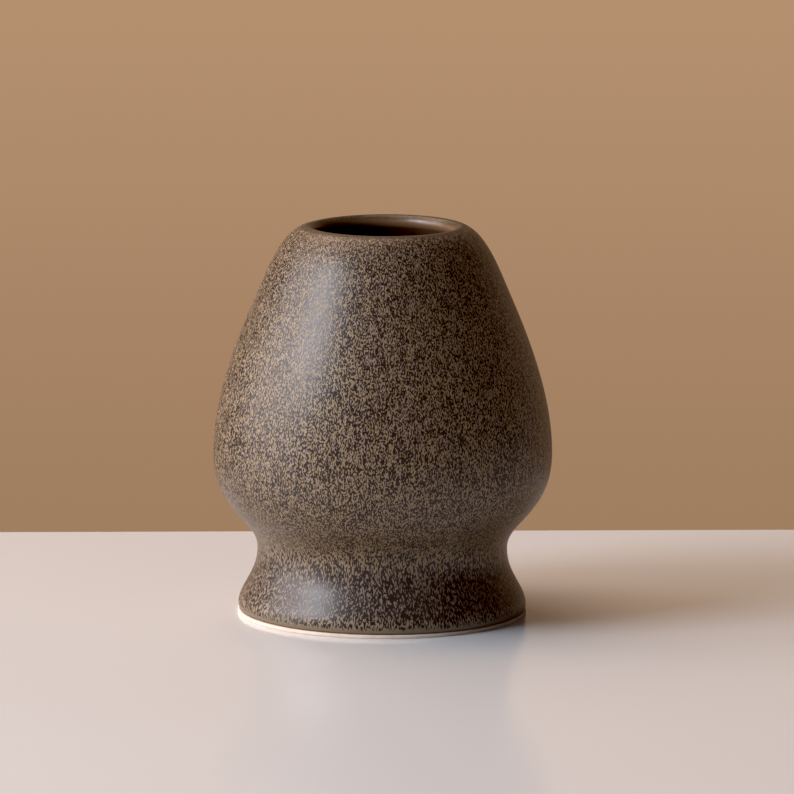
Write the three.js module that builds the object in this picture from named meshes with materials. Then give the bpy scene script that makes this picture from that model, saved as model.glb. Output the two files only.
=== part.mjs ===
// Ceramic holder for a tea whisk: a hollow turned vessel with a small mouth, a round belly,
// a drawn-in waist and a flared foot. It is open at the mouth and under the foot.
// Millimetres, +Z up, standing on z = 0, round the Z axis.

import * as THREE from 'three';

// Driving dimensions.
const overallHeight = 72;
const facets = 48;             // flat sides round the axis
const wallThickness = 3.0;     // clay with a glaze coat on each side
const glazeThickness = 0.4;

const ringRadius = 26.85;      // bare ring of clay that the vessel stands on
const ringHeight = 0.65;
const ringInnerRadius = 24.15;
const ringBevel = 0.2;
const glazeEdgeRadius = 26.4;  // where the outer coat stops, on top of the bare ring
const footRadius = 26.55;      // the foot at its widest
const footHeight = 1.7;
const waistRadius = 23.05;
const waistHeight = 12.0;
const bellyRadius = 31.2;
const bellyHeight = 29.9;
const shoulderRadius = 22.4;
const shoulderHeight = 61.3;
const shoulderSlope = 0.41;    // radius lost for each millimetre of height
const mouthRadius = 12.85;
const lipRadius = 1.4;         // the lip is a half-round bead of this radius

// How far each Bezier handle reaches along the outline from its own level.
const reach = {
  edge: 0.4,
  footUp: 2.9,
  waistDown: 5.0,
  waistUp: 5.7,
  bellyDown: 11.1,
  bellyUp: 12.75,
  shoulderDown: 4.3,
  shoulderUp: 6.7,
  lipOut: 2.8,
  innerNeck: 3.4,
};

// Straight steps in each stretch of the outline.
const steps = { edge: 1, foot: 5, waist: 6, belly: 5, shoulder: 4, lip: 1, innerLip: 4, neck: 2 };

const lipCentre = new THREE.Vector2(mouthRadius + lipRadius, overallHeight - lipRadius);
const lipOuterAngle = THREE.MathUtils.degToRad(78);
const lipTopAngle = THREE.MathUtils.degToRad(90);
const lipUndersideAngle = THREE.MathUtils.degToRad(225);
const bareFootSteps = 2;       // stretches above the foot that the liner leaves bare

// A station is a point of the half section, with the direction into the clay there.
// The section runs up the outside and down the inside, so the clay is on its left.
function station(point, travel) {
  const into = new THREE.Vector2(-travel.y, travel.x).normalize();
  return { point, into };
}

function curveStations(start, startHandle, endHandle, end, count) {
  const curve = new THREE.CubicBezierCurve(start, startHandle, endHandle, end);
  const stations = [];
  for (let i = 0; i <= count; i += 1) {
    const t = i / count;
    stations.push(station(curve.getPoint(t), curve.getTangent(t)));
  }
  return stations;
}

function lipStations(fromAngle, toAngle, count) {
  const stations = [];
  for (let i = 0; i <= count; i += 1) {
    const angle = THREE.MathUtils.lerp(fromAngle, toAngle, i / count);
    const outward = new THREE.Vector2(Math.cos(angle), Math.sin(angle));
    const point = outward.clone().multiplyScalar(lipRadius).add(lipCentre);
    stations.push({ point, into: outward.negate() });
  }
  return stations;
}

// The same stretch on the other side of the wall, run the other way.
function acrossTheWall(stations) {
  return stations.map(({ point, into }) => ({
    point: point.clone().addScaledVector(into, wallThickness),
    into: into.clone().negate(),
  })).reverse();
}

// Stretches joined end to end, with each shared station kept once.
function joined(...stretches) {
  return stretches.reduce((whole, stretch) => whole.concat(stretch.slice(1)));
}

const at = (radius, height) => new THREE.Vector2(radius, height);

function outsideStretches() {
  const lip = lipStations(lipOuterAngle, lipTopAngle, steps.lip);
  const lipStart = lip[0];
  const downFromLip = at(-lipStart.into.y, lipStart.into.x);
  const edge = curveStations(
    at(glazeEdgeRadius, ringHeight),
    at(glazeEdgeRadius, ringHeight + reach.edge),
    at(footRadius, footHeight - reach.edge),
    at(footRadius, footHeight),
    steps.edge,
  );
  const foot = curveStations(
    at(footRadius, footHeight),
    at(footRadius, footHeight + reach.footUp),
    at(waistRadius, waistHeight - reach.waistDown),
    at(waistRadius, waistHeight),
    steps.foot,
  );
  const waist = curveStations(
    at(waistRadius, waistHeight),
    at(waistRadius, waistHeight + reach.waistUp),
    at(bellyRadius, bellyHeight - reach.bellyDown),
    at(bellyRadius, bellyHeight),
    steps.waist,
  );
  const belly = curveStations(
    at(bellyRadius, bellyHeight),
    at(bellyRadius, bellyHeight + reach.bellyUp),
    at(shoulderRadius + shoulderSlope * reach.shoulderDown, shoulderHeight - reach.shoulderDown),
    at(shoulderRadius, shoulderHeight),
    steps.belly,
  );
  const shoulder = curveStations(
    at(shoulderRadius, shoulderHeight),
    at(shoulderRadius - shoulderSlope * reach.shoulderUp, shoulderHeight + reach.shoulderUp),
    lipStart.point.clone().addScaledVector(downFromLip, reach.lipOut),
    lipStart.point,
    steps.shoulder,
  );
  return { edge, foot, waist, belly, shoulder, lip };
}

// The ceiling of the hollow, from the underside of the lip out to the shoulder's inner face.
function innerNeck(lipEnd, wallStart) {
  const lipTravel = at(lipEnd.into.y, -lipEnd.into.x);
  const wallTravel = at(wallStart.into.y, -wallStart.into.x);
  return curveStations(
    lipEnd.point,
    lipEnd.point.clone().addScaledVector(lipTravel, reach.innerNeck),
    wallStart.point.clone().addScaledVector(wallTravel, -reach.innerNeck),
    wallStart.point,
    steps.neck,
  );
}

const outside = outsideStretches();
const outerSection = joined(
  outside.edge, outside.foot, outside.waist, outside.belly, outside.shoulder, outside.lip,
);

const innerLip = lipStations(lipTopAngle, lipUndersideAngle, steps.innerLip);
const innerWall = acrossTheWall(joined(outside.foot, outside.waist, outside.belly));
const neck = innerNeck(innerLip.at(-1), innerWall[0]);
const innerSection = joined(innerLip, neck, innerWall);
const linerSection = innerSection.slice(0, innerSection.length - bareFootSteps);
const bareInside = innerSection.slice(innerSection.length - bareFootSteps);

const surfacePoints = (stations) => stations.map(({ point }) => point);

const underGlazePoints = (stations) => stations.map(
  ({ point, into }) => point.clone().addScaledVector(into, glazeThickness),
);

// A closed half section turned round the Z axis.
function turned(name, outline, material) {
  const geometry = new THREE.LatheGeometry([...outline, outline[0].clone()], facets);
  geometry.rotateX(Math.PI / 2);
  const mesh = new THREE.Mesh(geometry, material);
  mesh.name = name;
  return mesh;
}

function clayBody() {
  const bareRing = [
    at(ringInnerRadius, 0),
    at(ringRadius - ringBevel, 0),
    at(ringRadius, ringBevel),
    at(ringRadius, ringHeight - ringBevel),
    at(ringRadius - ringBevel, ringHeight),
  ];
  const outline = [
    ...bareRing,
    ...underGlazePoints(outerSection),
    ...underGlazePoints(linerSection).slice(1),
    linerSection.at(-1).point,
    ...surfacePoints(bareInside),
  ];
  const material = new THREE.MeshStandardMaterial({ color: 0xe4d3bf, roughness: 0.85, metalness: 0 });
  return turned('clay_body', outline, material);
}

// A coat of glaze over one stretch of the section.
function glazeCoat(name, stations, material) {
  const outline = [...surfacePoints(stations), ...underGlazePoints(stations).reverse()];
  return turned(name, outline, material);
}

function outerGlaze() {
  const material = new THREE.MeshStandardMaterial({ color: 0x655440, roughness: 0.45, metalness: 0 });
  return glazeCoat('outer_glaze', outerSection, material);
}

function linerGlaze() {
  const material = new THREE.MeshStandardMaterial({ color: 0x3a2a1e, roughness: 0.3, metalness: 0 });
  return glazeCoat('liner_glaze', linerSection, material);
}

const group = new THREE.Group();
group.add(clayBody(), outerGlaze(), linerGlaze());

export default group;
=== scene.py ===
import math

import bpy
import numpy as np
from mathutils import Matrix, Vector


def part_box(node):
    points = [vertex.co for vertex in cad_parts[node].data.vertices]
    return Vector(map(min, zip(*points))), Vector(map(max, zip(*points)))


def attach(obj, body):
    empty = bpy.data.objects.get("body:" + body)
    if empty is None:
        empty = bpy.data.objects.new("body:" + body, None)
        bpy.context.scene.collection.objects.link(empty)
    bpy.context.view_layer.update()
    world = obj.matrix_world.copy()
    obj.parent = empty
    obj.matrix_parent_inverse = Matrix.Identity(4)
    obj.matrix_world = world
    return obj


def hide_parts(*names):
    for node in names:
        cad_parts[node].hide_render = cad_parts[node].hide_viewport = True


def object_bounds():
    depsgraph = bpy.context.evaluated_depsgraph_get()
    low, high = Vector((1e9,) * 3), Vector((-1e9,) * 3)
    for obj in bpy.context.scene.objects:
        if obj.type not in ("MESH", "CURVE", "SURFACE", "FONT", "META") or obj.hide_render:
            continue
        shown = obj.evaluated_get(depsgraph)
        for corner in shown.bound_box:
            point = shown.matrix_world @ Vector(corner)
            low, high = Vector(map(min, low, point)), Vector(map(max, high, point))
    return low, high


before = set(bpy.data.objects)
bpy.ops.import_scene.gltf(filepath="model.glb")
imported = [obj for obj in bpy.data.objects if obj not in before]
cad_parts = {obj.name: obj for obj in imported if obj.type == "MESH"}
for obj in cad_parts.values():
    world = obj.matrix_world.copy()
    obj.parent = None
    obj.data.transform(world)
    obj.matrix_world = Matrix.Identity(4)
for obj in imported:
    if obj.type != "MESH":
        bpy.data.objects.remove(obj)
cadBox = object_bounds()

# A glazed ceramic holder for a tea whisk. Shapes are worked out in millimetres and
# become metres when they are put into a mesh.
metresPerMillimetre = 0.001


def millimetres(corner):
    return np.array(corner) / metresPerMillimetre


glazeLow, glazeHigh = (millimetres(corner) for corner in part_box("outer_glaze"))
linerLow = millimetres(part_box("liner_glaze")[0])
centre = Vector((0, 0, cadBox[1].z / 2))

# Radii and heights of the outline, and how far each Bezier handle reaches from its level.
outline = {
    "edgeRadius": 26.4, "edgeHeight": glazeLow[2], "edgeReach": 0.4,
    "footRadius": 26.55, "footHeight": 1.7, "footReach": 2.9,
    "waistRadius": 23.05, "waistHeight": 12.0, "waistReachDown": 5.0, "waistReachUp": 5.7,
    "bellyRadius": glazeHigh[0], "bellyHeight": 29.9, "bellyReachDown": 11.1, "bellyReachUp": 12.75,
    "shoulderRadius": 22.4, "shoulderHeight": 61.3, "shoulderSlope": 0.41,
    "shoulderReachDown": 4.3, "shoulderReachUp": 6.7,
    "lipRadius": 1.4, "mouthRadius": 12.85, "lipOuterAngle": 78, "lipUndersideAngle": 225,
    "lipReach": 2.8, "neckReach": 3.4,
    "top": glazeHigh[2], "wall": 3.0, "glaze": 0.4,
}

# Steps in each stretch of the outline. The hidden back of a coat keeps every third of its
# points, and the casting under the coats every second.
steps = {
    "edge": 12, "foot": 34, "waist": 44, "belly": 44, "shoulder": 30, "crest": 8,
    "innerLip": 30, "neck": 24, "edgeRound": 6, "ringRound": 5,
    "coatBackEvery": 3, "castingEvery": 2,
}


def bezier(start, startHandle, endHandle, end, count):
    # Cubic Bezier: the four corners weighted by the Bernstein polynomials of t.
    t = np.linspace(0, 1, count + 1)[:, None]
    corners = [np.array(c, float) for c in (start, startHandle, endHandle, end)]
    weights = [(1 - t) ** 3, 3 * (1 - t) ** 2 * t, 3 * (1 - t) * t ** 2, t ** 3]
    return sum(w * c for w, c in zip(weights, corners))


def arc(middle, radius, fromDegrees, toDegrees, count):
    # Part of a circle: its middle plus the radius times (cos, sin) of the angle.
    angle = np.radians(np.linspace(fromDegrees, toDegrees, count + 1))
    return np.array(middle) + radius * np.stack([np.cos(angle), np.sin(angle)], 1)


def lipArc(fromDegrees, toDegrees, count):
    # The half-round lip's arc, whose middle is one lip radius out from the mouth and down
    # from the top.
    o = outline
    middle = (o["mouthRadius"] + o["lipRadius"], o["top"] - o["lipRadius"])
    return arc(middle, o["lipRadius"], fromDegrees, toDegrees, count)


def joined(*stretches):
    # Stretches end to end, with each shared point kept once.
    return np.concatenate([stretches[0]] + [s[1:] for s in stretches[1:]])


def leftOf(points):
    # Unit normals to the left of the direction of travel: the tangent turned a quarter.
    travel = np.gradient(points, axis=0)
    travel /= np.linalg.norm(travel, axis=1)[:, None]
    return np.stack([-travel[:, 1], travel[:, 0]], 1)


def outerWall():
    # Four Bezier stretches up the outside, from the foot's widest ring to the lip.
    o = outline
    lipStart = lipArc(o["lipOuterAngle"], o["lipOuterAngle"], 1)[0]
    lean = math.radians(o["lipOuterAngle"])
    belowLip = lipStart + o["lipReach"] * np.array([math.sin(lean), -math.cos(lean)])
    slope, up, down = o["shoulderSlope"], o["shoulderReachUp"], o["shoulderReachDown"]
    foot = bezier(
        (o["footRadius"], o["footHeight"]),
        (o["footRadius"], o["footHeight"] + o["footReach"]),
        (o["waistRadius"], o["waistHeight"] - o["waistReachDown"]),
        (o["waistRadius"], o["waistHeight"]), steps["foot"])
    waist = bezier(
        (o["waistRadius"], o["waistHeight"]),
        (o["waistRadius"], o["waistHeight"] + o["waistReachUp"]),
        (o["bellyRadius"], o["bellyHeight"] - o["bellyReachDown"]),
        (o["bellyRadius"], o["bellyHeight"]), steps["waist"])
    belly = bezier(
        (o["bellyRadius"], o["bellyHeight"]),
        (o["bellyRadius"], o["bellyHeight"] + o["bellyReachUp"]),
        (o["shoulderRadius"] + slope * down, o["shoulderHeight"] - down),
        (o["shoulderRadius"], o["shoulderHeight"]), steps["belly"])
    shoulder = bezier(
        (o["shoulderRadius"], o["shoulderHeight"]),
        (o["shoulderRadius"] - slope * up, o["shoulderHeight"] + up),
        belowLip, lipStart, steps["shoulder"])
    return joined(foot, waist, belly), shoulder


def innerWall(wall):
    # From the lip's crest over a Bezier neck, then down the outer wall moved in by its thickness.
    o = outline
    inner = wall + leftOf(wall) * o["wall"]
    lip = lipArc(90, o["lipUndersideAngle"], steps["innerLip"])
    lipTravel = lip[-1] - lip[-2]
    lipTravel /= np.linalg.norm(lipTravel)
    wallTravel = inner[-2] - inner[-1]
    wallTravel /= np.linalg.norm(wallTravel)
    neck = bezier(
        lip[-1], lip[-1] + lipTravel * o["neckReach"],
        inner[-1] - wallTravel * o["neckReach"], inner[-1], steps["neck"])
    return joined(lip, neck, inner[::-1])


# How the section is turned, and the small faults of a casting. Lengths are in millimetres.
turning = {
    "around": 384, "sharpAngle": 40,
    "wobble": 0.035, "wobbleSeed": 11, "wobbleWaves": (2, 3, 5), "wobblePeak": 1.8,
    "wobbleTwist": 40,          # height over which the wobble turns by one radian
    "rimDip": 0.2, "rimStart": 64.0,
    "rimHighest": 45,           # the angle at which the rim doesn't dip, at the back right
    "dipSines": (-0.3, 0.5),    # the dip grows between these sines of the angle, front to back
    "flowRadius": 22.0, "flowFollows": 0.45,
}


def softNoise(angle, waves, seed):
    # Sum of cosines round the circle with random phases, each weaker as it gets finer.
    random = np.random.default_rng(seed)
    phases = random.uniform(0, 2 * math.pi, len(waves))
    return sum(np.cos(n * angle + p) / (k + 1) for k, (n, p) in enumerate(zip(waves, phases)))


def share(value, low, high):
    # 0 at low, 1 at high, straight between them and flat outside.
    return np.clip((value - low) / (high - low), 0, 1)


def handMade(radius, height, angle):
    # The turned shape with a casting's small faults. The radius shrinks by a slow wave of
    # angle and height, and the rim dips towards the back left by a raised cosine.
    t = turning
    wave = softNoise(angle + height / t["wobbleTwist"], t["wobbleWaves"], t["wobbleSeed"])
    radius = radius - t["wobble"] * (1 + np.clip(wave / t["wobblePeak"], -1, 1)) / 2
    rise = share(height, t["rimStart"], outline["top"])
    back = share(np.sin(angle), *t["dipSines"])
    raised = 1 - np.cos(angle - math.radians(t["rimHighest"]))
    return radius, height - raised * t["rimDip"] * back * rise ** 2 * (3 - 2 * rise)


def flowPlace(section, radius, angle):
    # Where a glaze pattern is read, in millimetres: the length along the section upwards, and
    # the angle on a circle whose radius is the piece's own, pulled towards a middle one.
    t = turning
    lengths = np.linalg.norm(np.diff(section, axis=0), axis=1)
    along = np.concatenate([[0], np.cumsum(lengths)])[:, None]
    pulled = t["flowRadius"] + (radius - t["flowRadius"]) * t["flowFollows"]
    return np.stack([pulled * np.cos(angle), pulled * np.sin(angle), along + 0 * angle], -1)


def placed(name, data):
    # An object at the origin that holds a mesh, a light or a camera.
    holder = bpy.data.objects.new(name, data)
    bpy.context.scene.collection.objects.link(holder)
    return holder


def turnedPiece(name, section, edgeRise=None):
    # A closed half section turned round Z: x = r cos a, y = r sin a, z = h, as one grid
    # of section points by angles that closes on itself both ways.
    rows, columns = section.shape[0], turning["around"]
    angle = np.arange(columns) * 2 * math.pi / columns
    radius = np.repeat(section[:, :1], columns, 1)
    height = np.repeat(section[:, 1:], columns, 1)
    if edgeRise is not None:
        height = height + edgeRise(angle, height)
    radius, height = handMade(radius, height, angle[None, :])
    points = np.stack([radius * np.cos(angle), radius * np.sin(angle), height], -1)
    points = points.reshape(-1, 3) * metresPerMillimetre
    i = np.arange(rows)[:, None]
    j = np.arange(columns)[None, :]
    nextI, nextJ = (i + 1) % rows, (j + 1) % columns
    corners = [i * columns + j, i * columns + nextJ, nextI * columns + nextJ, nextI * columns + j]
    quads = np.stack([np.broadcast_to(c, (rows, columns)) for c in corners], -1).reshape(-1, 4)
    mesh = bpy.data.meshes.new(name)
    mesh.vertices.add(len(points))
    mesh.vertices.foreach_set("co", points.ravel())
    mesh.loops.add(quads.size)
    mesh.loops.foreach_set("vertex_index", quads.ravel())
    mesh.polygons.add(len(quads))
    mesh.polygons.foreach_set("loop_start", np.arange(len(quads)) * 4)
    mesh.polygons.foreach_set("use_smooth", np.ones(len(quads), bool))
    mesh.update(calc_edges=True)
    mesh.set_sharp_from_angle(angle=math.radians(turning["sharpAngle"]))
    flow = mesh.attributes.new("flow", "FLOAT_VECTOR", "POINT")
    flow.data.foreach_set("vector", flowPlace(section, radius, angle).ravel())
    return placed(name, mesh)


def standsFor(piece, node, material):
    piece.data.materials.append(material)
    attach(piece, "root")
    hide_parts(node)
    print(piece.name, "made:", len(piece.data.polygons), "faces")


class Wire:
    # One output socket. Arithmetic on it adds Math nodes to the tree.
    def __init__(self, tree, socket=None):
        self.tree = tree
        self.socket = socket

    def node(self, kind, settings, inputs, output=0):
        # Adds a node: settings first, then values or links for its sockets.
        made = self.tree.nodes.new(kind)
        for key, value in settings.items():
            setattr(made, key, value)
        for key, value in inputs.items():
            if isinstance(value, Wire):
                self.tree.links.new(value.socket, made.inputs[key])
            else:
                made.inputs[key].default_value = value
        return Wire(self.tree, made.outputs[output] if made.outputs else None)

    def math(self, operation, *values):
        return self.node("ShaderNodeMath", {"operation": operation}, dict(enumerate(values)))

    def __add__(self, other):
        return self.math("ADD", self, other)

    def __radd__(self, other):
        return self.math("ADD", other, self)

    def __sub__(self, other):
        return self.math("SUBTRACT", self, other)

    def __rsub__(self, other):
        return self.math("SUBTRACT", other, self)

    def __mul__(self, other):
        return self.math("MULTIPLY", self, other)

    def __rmul__(self, other):
        return self.math("MULTIPLY", other, self)

    def __abs__(self):
        return self.math("ABSOLUTE", self)

    def ramp(self, low, high, toLow=0.0, toHigh=1.0):
        # Smooth step of this value from low to high.
        settings = {"interpolation_type": "SMOOTHSTEP"}
        names = ("Value", "From Min", "From Max", "To Min", "To Max")
        return self.node("ShaderNodeMapRange", settings, dict(zip(names, (self, low, high, toLow, toHigh))))

    def blend(self, first, second):
        # Colour mix, with this value as the factor.
        settings = {"data_type": "RGBA"}
        return self.node("ShaderNodeMix", settings, {0: self, 6: first, 7: second}, output=2)

    def part(self, axis):
        # One number of a vector: its X, Y or Z.
        return self.node("ShaderNodeSeparateXYZ", {}, {0: self}, output=axis)


def colour(red, green, blue):
    return (red, green, blue, 1.0)


def newMaterial(name):
    material = bpy.data.materials.new(name)
    material.use_nodes = True
    material.node_tree.nodes.clear()
    return material, Wire(material.node_tree)


def finishMaterial(wire, inputs):
    shader = wire.node("ShaderNodeBsdfPrincipled", {}, inputs)
    wire.node("ShaderNodeOutputMaterial", {}, {"Surface": shader})


def bumpOf(wire, relief, settings):
    # A relief whose full depth is the settings' bump, in metres.
    return wire.node("ShaderNodeBump", {}, {
        "Strength": settings["bumpStrength"], "Distance": settings["bump"], "Height": relief})


def millimetrePlace(wire):
    # Object coordinates in millimetres.
    place = wire.node("ShaderNodeTexCoord", {}, {}, output="Object")
    return wire.node("ShaderNodeVectorMath", {"operation": "SCALE"},
                     {0: place, "Scale": 1 / metresPerMillimetre})


def noise(wire, place, size, stretch=1.0, detail=0.0, distortion=0.0, shift=0.0):
    # Noise whose patches are about size millimetres across and stretch times as tall. The
    # shift moves the pattern, unevenly on each axis, so that no two noises look alike.
    moved = wire.node("ShaderNodeMapping", {}, {
        "Vector": place,
        "Location": (shift, shift * 0.7, shift * 1.3),
        "Scale": (1 / size, 1 / size, 1 / (size * stretch))})
    inputs = {"Vector": moved, "Scale": 1.0, "Detail": detail, "Distortion": distortion}
    return wire.node("ShaderNodeTexNoise", {"noise_dimensions": "3D", "normalize": True}, inputs)


# The speckled outer coat. A pair of numbers is a stretch that a change takes: heights above
# the table in millimetres, unless a note says otherwise.
speckle = {
    "khaki": colour(0.292, 0.221, 0.143), "khakiGold": colour(0.297, 0.216, 0.120),
    "khakiPink": colour(0.292, 0.214, 0.160), "olive": colour(0.240, 0.172, 0.098),
    "footKhaki": colour(0.240, 0.182, 0.138), "edgeOlive": colour(0.20, 0.155, 0.10),
    "lipBrown": colour(0.080, 0.056, 0.036), "toasted": colour(0.12, 0.055, 0.02),
    "umber": colour(0.013, 0.0055, 0.002), "plum": colour(0.020, 0.011, 0.009),
    "slate": colour(0.030, 0.020, 0.015),
    "flecks": {"size": 0.172, "stretch": 2.7, "detail": 0.5, "distortion": 0.3},
    "veins": {"size": 0.265, "stretch": 2.7, "detail": 0.5, "distortion": 0.4},
    "runs": {"size": 0.22, "stretch": 3.0, "detail": 0.5, "distortion": 0.3, "shift": 44},
    "patches": {"size": 5.0, "stretch": 1.6, "detail": 1.0, "shift": 31},
    "streaks": {"size": 0.42, "stretch": 10.0, "detail": 1.0, "shift": 57},
    "tongues": {"size": 1.1, "stretch": 3.0, "detail": 1.0, "shift": 71},
    "tint": {"size": 0.9, "stretch": 1.8, "detail": 1.5, "shift": 83},
    "cooler": {"size": 1.3, "stretch": 1.6, "detail": 1.0, "shift": 97},
    "grain": {"size": 0.25, "detail": 2.0, "shift": 12},
    "fineLevel": 0.528, "fleckContrast": 0.75, "veinContrast": 0.6,
    "runsFade": (13.0, 24.0), "fadeGain": 1.6,
    "footStart": (1.6, 4.5), "footTop": (9.0, 13.5), "tongueReach": 9,
    "footLitSide": (-27.0, -14.0),     # X: the foot's dark thins out to the left, the side the windows light: painted sheen
    "footLitSideShare": 0.45,
    "edgeBand": (0.9, 1.9), "rimBand": (71.75, 72.05), "rimBandShare": 0.6,
    "shoulderBand": (50.0, 66.0),
    "darkLevel": 0.497, "footDark": 0.075, "bandDark": 0.35, "shoulderDark": 0.012,
    "patchDark": 0.025, "streakDark": 0.2, "fleckEdge": 0.009,
    "pinkTint": (0.5, 0.62), "goldTint": (0.5, 0.38), "coolTint": (0.48, 0.64),     # noise values
    "waistStart": (10.0, 14.0), "waistEnd": (16.0, 34.0),
    "oliveEdge": (1.2, 2.6), "brownLip": (71.45, 71.95), "toastedEdge": (0.8, 1.1),
    "mattFlecks": 0.47, "glossyFlecks": 0.36, "grainRoughness": 0.08,
    "grainRelief": 0.35, "khakiRelief": 0.65, "bump": 0.00002, "bumpStrength": 0.6, "ior": 1.5,
}


def speckledGlaze():
    s = speckle
    material, wire = newMaterial("speckled glaze")
    place = millimetrePlace(wire)
    height = place.part("Z")
    flow = wire.node("ShaderNodeAttribute", {"attribute_name": "flow"}, {}, output="Vector")

    # Fine flecks broken by veins, which give way to runs below the belly. Mixing two noises
    # flattens them, so the gain brings their contrast back where they meet.
    flecks = noise(wire, flow, **s["flecks"])
    veins = noise(wire, flow, **s["veins"])
    runs = noise(wire, flow, **s["runs"])
    fine = s["fineLevel"] + (flecks - 0.5) * s["fleckContrast"] - abs(veins - 0.5) * s["veinContrast"]
    below = height.ramp(*s["runsFade"], 1.0, 0.0)
    mixed = fine + (runs - fine) * below
    pattern = 0.5 + (mixed - 0.5) * (1 + below * (1 - below) * s["fadeGain"])

    # Share of dark: even on the belly, most on the foot, none at the lip and the lower edge.
    patches = noise(wire, flow, **s["patches"])
    streaks = noise(wire, flow, **s["streaks"])
    tongues = (noise(wire, flow, **s["tongues"]) - 0.5) * s["tongueReach"]
    foot = height.ramp(*s["footStart"]) * (height + tongues).ramp(*s["footTop"], 1.0, 0.0)
    # Painted sheen: the foot's dark, slate and pink khaki thin out towards the left, where the windows
    # light the foot.
    foot = foot * place.part("X").ramp(*s["footLitSide"], s["footLitSideShare"], 1.0)
    bands = height.ramp(*s["edgeBand"], 1.0, 0.0) + height.ramp(*s["rimBand"]) * s["rimBandShare"]
    level = s["darkLevel"] + foot * s["footDark"] - bands * s["bandDark"]
    level = level + height.ramp(*s["shoulderBand"]) * s["shoulderDark"]
    level = level + (patches - 0.5) * s["patchDark"] + (streaks - 0.5) * s["streakDark"]
    dark = (level - pattern).ramp(-s["fleckEdge"], s["fleckEdge"])

    # Khaki that drifts to pink and gold, olive at the waist, and brown at the lip.
    tint = noise(wire, flow, **s["tint"])
    khaki = tint.ramp(*s["pinkTint"]).blend(s["khaki"], s["khakiPink"])
    khaki = tint.ramp(*s["goldTint"]).blend(khaki, s["khakiGold"])
    waist = height.ramp(*s["waistStart"]) * height.ramp(*s["waistEnd"], 1.0, 0.0)
    khaki = waist.blend(khaki, s["olive"])
    khaki = foot.blend(khaki, s["footKhaki"])
    khaki = height.ramp(*s["oliveEdge"], 1.0, 0.0).blend(khaki, s["edgeOlive"])
    khaki = height.ramp(*s["brownLip"]).blend(khaki, s["lipBrown"])

    # The dark is umber, cooler in patches and on the foot. The lowest edge is toasted.
    cool = noise(wire, flow, **s["cooler"]).ramp(*s["coolTint"]) * (1 - waist)
    darkTone = foot.blend(cool.blend(s["umber"], s["plum"]), s["slate"])
    base = dark.blend(khaki, darkTone)
    base = height.ramp(*s["toastedEdge"], 1.0, 0.0).blend(base, s["toasted"])

    grain = noise(wire, place, **s["grain"])
    roughness = dark * (s["glossyFlecks"] - s["mattFlecks"]) + s["mattFlecks"]
    roughness = roughness + (grain - 0.5) * s["grainRoughness"]
    relief = grain * s["grainRelief"] + (1 - dark) * s["khakiRelief"]
    finishMaterial(wire, {"Base Color": base, "Roughness": roughness,
                          "Normal": bumpOf(wire, relief, s), "IOR": s["ior"]})
    return material


# The plain coat inside. Heights are pairs in millimetres, as in the outer coat.
liner = {
    # deep is painted shade: the brown darkened where the inside of the hollow falls into shade.
    "brown": colour(0.19, 0.11, 0.062), "deep": colour(0.024, 0.013, 0.007),
    "lipDark": colour(0.035, 0.022, 0.012), "lipLight": colour(0.105, 0.076, 0.046),
    "cloud": {"size": 3.0, "detail": 2.0, "shift": 5},
    "mottle": {"size": 0.28, "detail": 1.0, "shift": 7},
    "grain": {"size": 0.3, "detail": 2.0, "shift": 12},
    # Painted shade inside the hollow: dark below the first height, the lit brown above the second.
    "paintedShadeBelow": (66.0, 70.5), "cloudReach": 3, "mottledLip": (70.8, 71.7),
    "mottleTone": (0.42, 0.6),      # noise values
    "roughness": 0.34, "grainRoughness": 0.1, "bump": 0.00002, "bumpStrength": 0.4, "ior": 1.5,
}


def linerGlaze():
    # Painted shade: deep brown inside the hollow, lighter near the mouth where light reaches, mottled where
    # it thins over the lip.
    s = liner
    material, wire = newMaterial("liner glaze")
    place = millimetrePlace(wire)
    height = place.part("Z")
    cloud = (noise(wire, place, **s["cloud"]) - 0.5) * s["cloudReach"]
    # Painted shade: deep low inside, the lit brown near the mouth; the cloud wiggles the shade's edge.
    brown = (height + cloud).ramp(*s["paintedShadeBelow"]).blend(s["deep"], s["brown"])
    mottle = noise(wire, place, **s["mottle"]).ramp(*s["mottleTone"])
    base = height.ramp(*s["mottledLip"]).blend(brown, mottle.blend(s["lipDark"], s["lipLight"]))
    grain = noise(wire, place, **s["grain"])
    roughness = s["roughness"] + (grain - 0.5) * s["grainRoughness"]
    finishMaterial(wire, {"Base Color": base, "Roughness": roughness,
                          "Normal": bumpOf(wire, grain, s), "IOR": s["ior"]})
    return material


clay = {
    "cream": colour(0.86, 0.72, 0.60), "warm": colour(0.80, 0.64, 0.50),
    "cloud": {"size": 2.5, "detail": 2.0, "shift": 3},
    "grain": {"size": 0.12, "detail": 3.0, "shift": 21},
    "warmTone": (0.35, 0.7),        # noise values
    "roughness": 0.85, "grainRoughness": 0.1, "bump": 0.00003, "bumpStrength": 0.7, "ior": 1.45,
}


def bareClay():
    # Cream clay with warmer clouds and a fine sandy grain.
    s = clay
    material, wire = newMaterial("bare clay")
    place = millimetrePlace(wire)
    base = noise(wire, place, **s["cloud"]).ramp(*s["warmTone"]).blend(s["cream"], s["warm"])
    grain = noise(wire, place, **s["grain"])
    roughness = s["roughness"] + (grain - 0.5) * s["grainRoughness"]
    finishMaterial(wire, {"Base Color": base, "Roughness": roughness,
                          "Normal": bumpOf(wire, grain, s), "IOR": s["ior"]})
    return material


# The coats' thickness leaves a hair's gap to the clay. The outer coat's lower edge is round,
# tilts and waves a little, and its wave fades out above it.
coat = {
    "gap": 0.02, "edgeRound": 0.16, "edgeTilt": 0.06, "edgeWave": 0.03, "edgeFade": 3.0,
    "waves": (3, 7, 13, 22), "wavePeak": 2.1, "waveSeed": 5,
}
ring = {"radius": 26.6, "height": 0.65, "inner": 24.15, "round": 0.2}


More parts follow.
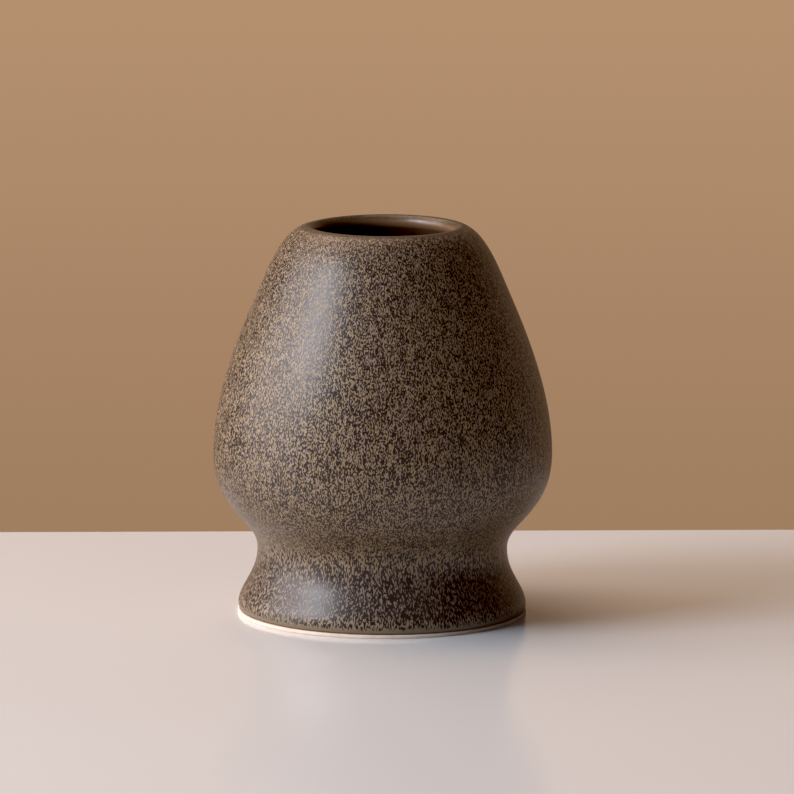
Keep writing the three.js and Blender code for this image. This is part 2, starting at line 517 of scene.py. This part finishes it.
def edgeWave(angle, height):
    # The coat's lower edge rises to the left by a raised cosine, and in small waves.
    c = coat
    waves = softNoise(angle, c["waves"], c["waveSeed"]) / c["wavePeak"]
    rise = c["edgeTilt"] * (1 - np.cos(angle)) / 2 + c["edgeWave"] * (1 + waves) / 2
    fade = 1 - share(height, outline["edgeHeight"], outline["edgeHeight"] + c["edgeFade"])
    return rise[None, :] * fade


def backOf(face):
    # The coat's hidden face, run back the other way: the face moved in by its thickness.
    inward = leftOf(face) * (outline["glaze"] - coat["gap"])
    return (face + inward)[::steps["coatBackEvery"]][::-1]


def outerCoat(wall, shoulder):
    # The coat's outer face up to the lip's crest, then back down the face on the clay.
    o = outline
    edge = bezier(
        (o["edgeRadius"], o["edgeHeight"] + coat["edgeRound"]),
        (o["edgeRadius"], o["edgeHeight"] + o["edgeReach"]),
        (o["footRadius"], o["footHeight"] - o["edgeReach"]),
        (o["footRadius"], o["footHeight"]), steps["edge"])
    turn = (o["edgeRadius"] - coat["edgeRound"], o["edgeHeight"] + coat["edgeRound"])
    rounded = arc(turn, coat["edgeRound"], -90, 0, steps["edgeRound"])
    body = joined(edge, wall, shoulder, lipArc(o["lipOuterAngle"], 90, steps["crest"]))
    return np.concatenate([joined(rounded, body), backOf(body)])


def linerCoat(inner):
    # The inner face down to where the liner stops, then back up the face on the clay.
    face = inner[inner[:, 1] > linerLow[2]]
    return np.concatenate([face, backOf(face)])


def clayCasting(wall, shoulder, inner):
    # The bare ring, the face under the outer coat, the face under the liner, and the bare
    # band inside the foot.
    o = outline
    deep = o["glaze"] + coat["gap"]
    middle = ring["radius"] - ring["round"]
    low = arc((middle, ring["round"]), ring["round"], -90, 0, steps["ringRound"])
    high = arc((middle, ring["height"] - ring["round"]), ring["round"], 0, 90, steps["ringRound"])
    outer = joined(wall, shoulder, lipArc(o["lipOuterAngle"], 90, steps["crest"]))
    outer = outer + leftOf(outer) * deep
    start = np.array([[outer[0, 0], ring["height"]]])
    isLined = inner[:, 1] > linerLow[2]
    lined = inner[isLined] + leftOf(inner)[isLined] * deep
    foot = np.array([[ring["inner"], 0.0]])
    every = steps["castingEvery"]
    return np.concatenate([foot, low, high, start, outer[::every], lined[::every], inner[~isLined]])


wall, shoulder = outerWall()
inner = innerWall(wall)
print("outline ready:", len(wall) + len(shoulder) + len(inner), "points")

bodyPiece = turnedPiece("clay_casting", clayCasting(wall, shoulder, inner))
standsFor(bodyPiece, "clay_body", bareClay())
coatPiece = turnedPiece("speckled_coat", outerCoat(wall, shoulder), edgeWave)
standsFor(coatPiece, "outer_glaze", speckledGlaze())
linerPiece = turnedPiece("brown_liner", linerCoat(inner))
standsFor(linerPiece, "liner_glaze", linerGlaze())

# The table, in metres. Its back edge lies further back to the right, by backTurn of X.
table = {
    "width": 3.0, "front": -1.6, "back": 0.0836, "backTurn": 0.0454, "thickness": 0.03,
    "edgeRound": 0.004, "edgeSteps": 12, "sharpAngle": 30,
    "colour": colour(0.82, 0.85, 0.88), "roughness": 0.15,
}


def makeTable():
    # A slab whose back edge is a quarter round: the outline in Y and Z, carried along X. Each
    # end's back edge is moved in Y by the end's X times the turn.
    t = table
    edge = arc((t["back"] - t["edgeRound"], -t["edgeRound"]), t["edgeRound"], 90, 0, t["edgeSteps"])
    under = [[t["back"], -t["thickness"]], [t["front"], -t["thickness"]]]
    section = np.concatenate([[[t["front"], 0]], edge, under])
    count = len(section)
    left = np.column_stack([np.full(count, -t["width"] / 2), section])
    right = left + np.array([t["width"], 0, 0])
    for end in (left, right):
        end[1:-1, 1] += end[0, 0] * t["backTurn"]
    k = np.arange(count)
    sides = np.stack([k, (k + 1) % count, (k + 1) % count + count, k + count], 1)
    faces = sides.tolist() + [k[::-1].tolist(), (k + count).tolist()]
    mesh = bpy.data.meshes.new("table")
    mesh.from_pydata(np.concatenate([left, right]).tolist(), [], faces)
    mesh.polygons.foreach_set("use_smooth", np.ones(len(faces), bool))
    mesh.set_sharp_from_angle(angle=math.radians(t["sharpAngle"]))
    material, wire = newMaterial("table")
    finishMaterial(wire, {"Base Color": t["colour"], "Roughness": t["roughness"]})
    mesh.materials.append(material)
    placed("table", mesh)


# Two windows on the left, and the warm wall and ceiling that they light. Distances and
# sizes are in metres, angles in degrees, power in watts.
lamps = {
    "low window": {
        "azimuth": -84, "elevation": 20, "distance": 1.3, "size": 1.2, "tall": 0.85,
        "power": 14.5, "colour": (1.0, 0.93, 0.93),
    },
    "high window": {
        "azimuth": -63, "elevation": 33, "distance": 1.3, "size": 0.55, "tall": 0.55,
        "power": 11, "colour": (0.83, 0.89, 1.0),
    },
    "warm wall": {
        "azimuth": -130, "elevation": 60, "distance": 1.3, "size": 1.2, "tall": 1.2,
        "power": 12.5, "colour": (1.0, 0.72, 0.54),
    },
}


def around(azimuth, elevation, distance):
    # A point seen from the holder: azimuth 0 is towards the camera, positive to the right.
    a, e = math.radians(azimuth), math.radians(elevation)
    return Vector((math.sin(a) * math.cos(e), -math.cos(a) * math.cos(e), math.sin(e))) * distance


def makeLamp(name, settings):
    light = bpy.data.lights.new(name, "AREA")
    light.shape = "RECTANGLE"
    light.size = settings["size"]
    light.size_y = settings["tall"]
    light.energy = settings["power"]
    light.color = settings["colour"]
    holder = placed(name, light)
    holder.location = centre + around(settings["azimuth"], settings["elevation"], settings["distance"])
    holder.rotation_mode = "QUATERNION"
    holder.rotation_quaternion = (centre - holder.location).to_track_quat("-Z", "Y")
    holder.visible_camera = False


# The room. A pair of numbers is a stretch of the view direction's Z or Y, from -1 to 1.
room = {
    "wallHigh": colour(0.467, 0.290, 0.170), "wallLow": colour(0.355, 0.216, 0.125),
    "dim": colour(0.046, 0.038, 0.033),
    "wallFade": (-0.19, -0.10), "wallTop": (0.3, 0.6), "wallSides": (0.35, 0.75),
    "wallShare": 0.65,
}


def makeWorld():
    # The holder stands before a tan wall, in a room that is dark above it and on the camera's
    # side. The camera itself sees the wall in every direction.
    r = room
    world = bpy.data.worlds.new("room")
    world.use_nodes = True
    world.node_tree.nodes.clear()
    wire = Wire(world.node_tree)
    direction = wire.node("ShaderNodeTexCoord", {}, {}, output="Generated")
    height, depth = direction.part("Z"), direction.part("Y")
    wallColour = height.ramp(*r["wallFade"]).blend(r["wallLow"], r["wallHigh"])
    isWall = depth.ramp(*r["wallSides"], 0.0, r["wallShare"]) * height.ramp(*r["wallTop"], 1.0, 0.0)
    surroundings = isWall.blend(r["dim"], wallColour)
    isCamera = wire.node("ShaderNodeLightPath", {}, {}, output="Is Camera Ray")
    shown = isCamera.blend(surroundings, wallColour)
    background = wire.node("ShaderNodeBackground", {}, {"Color": shown})
    wire.node("ShaderNodeOutputWorld", {}, {"Surface": background})
    bpy.context.scene.world = world


# Distances and aim in metres, angles in degrees, lens and sensor in millimetres.
camera = {
    "elevation": 9.75, "distance": 1.385, "lens": 341.2, "sensor": 36.0,
    "aimRight": 0.00256, "aimUp": 0.00399, "roll": 0.324, "nearest": 0.05, "furthest": 20,
    "blackLevel": (0.0055, 0.0085, 0.0085),
}


def makeCamera():
    # Aimed at the holder's middle, moved along the picture's right and up, and rolled.
    c = camera
    lensData = bpy.data.cameras.new("camera")
    lensData.lens = c["lens"]
    lensData.sensor_width = c["sensor"]
    lensData.clip_start = c["nearest"]
    lensData.clip_end = c["furthest"]
    holder = placed("camera", lensData)
    holder.location = centre + around(0, c["elevation"], c["distance"])
    lean = math.radians(c["elevation"])
    upward = Vector((0, math.sin(lean), math.cos(lean)))
    aim = centre + Vector((c["aimRight"], 0, 0)) + upward * c["aimUp"]
    turn = (aim - holder.location).to_track_quat("-Z", "Y").to_matrix().to_4x4()
    turn = turn @ Matrix.Rotation(math.radians(c["roll"]), 4, "Z")
    holder.rotation_mode = "QUATERNION"
    holder.rotation_quaternion = turn.to_quaternion()
    bpy.context.scene.camera = holder


def setTones():
    # Plain tones, with the darkest ones brought down to black.
    view = bpy.context.scene.view_settings
    view.view_transform = "Standard"
    view.use_curve_mapping = True
    view.curve_mapping.black_level = camera["blackLevel"]
    view.curve_mapping.update()


makeTable()
for name, settings in lamps.items():
    makeLamp(name, settings)
makeWorld()
makeCamera()
setTones()
print("table, light and camera ready")

bpy.context.view_layer.update()
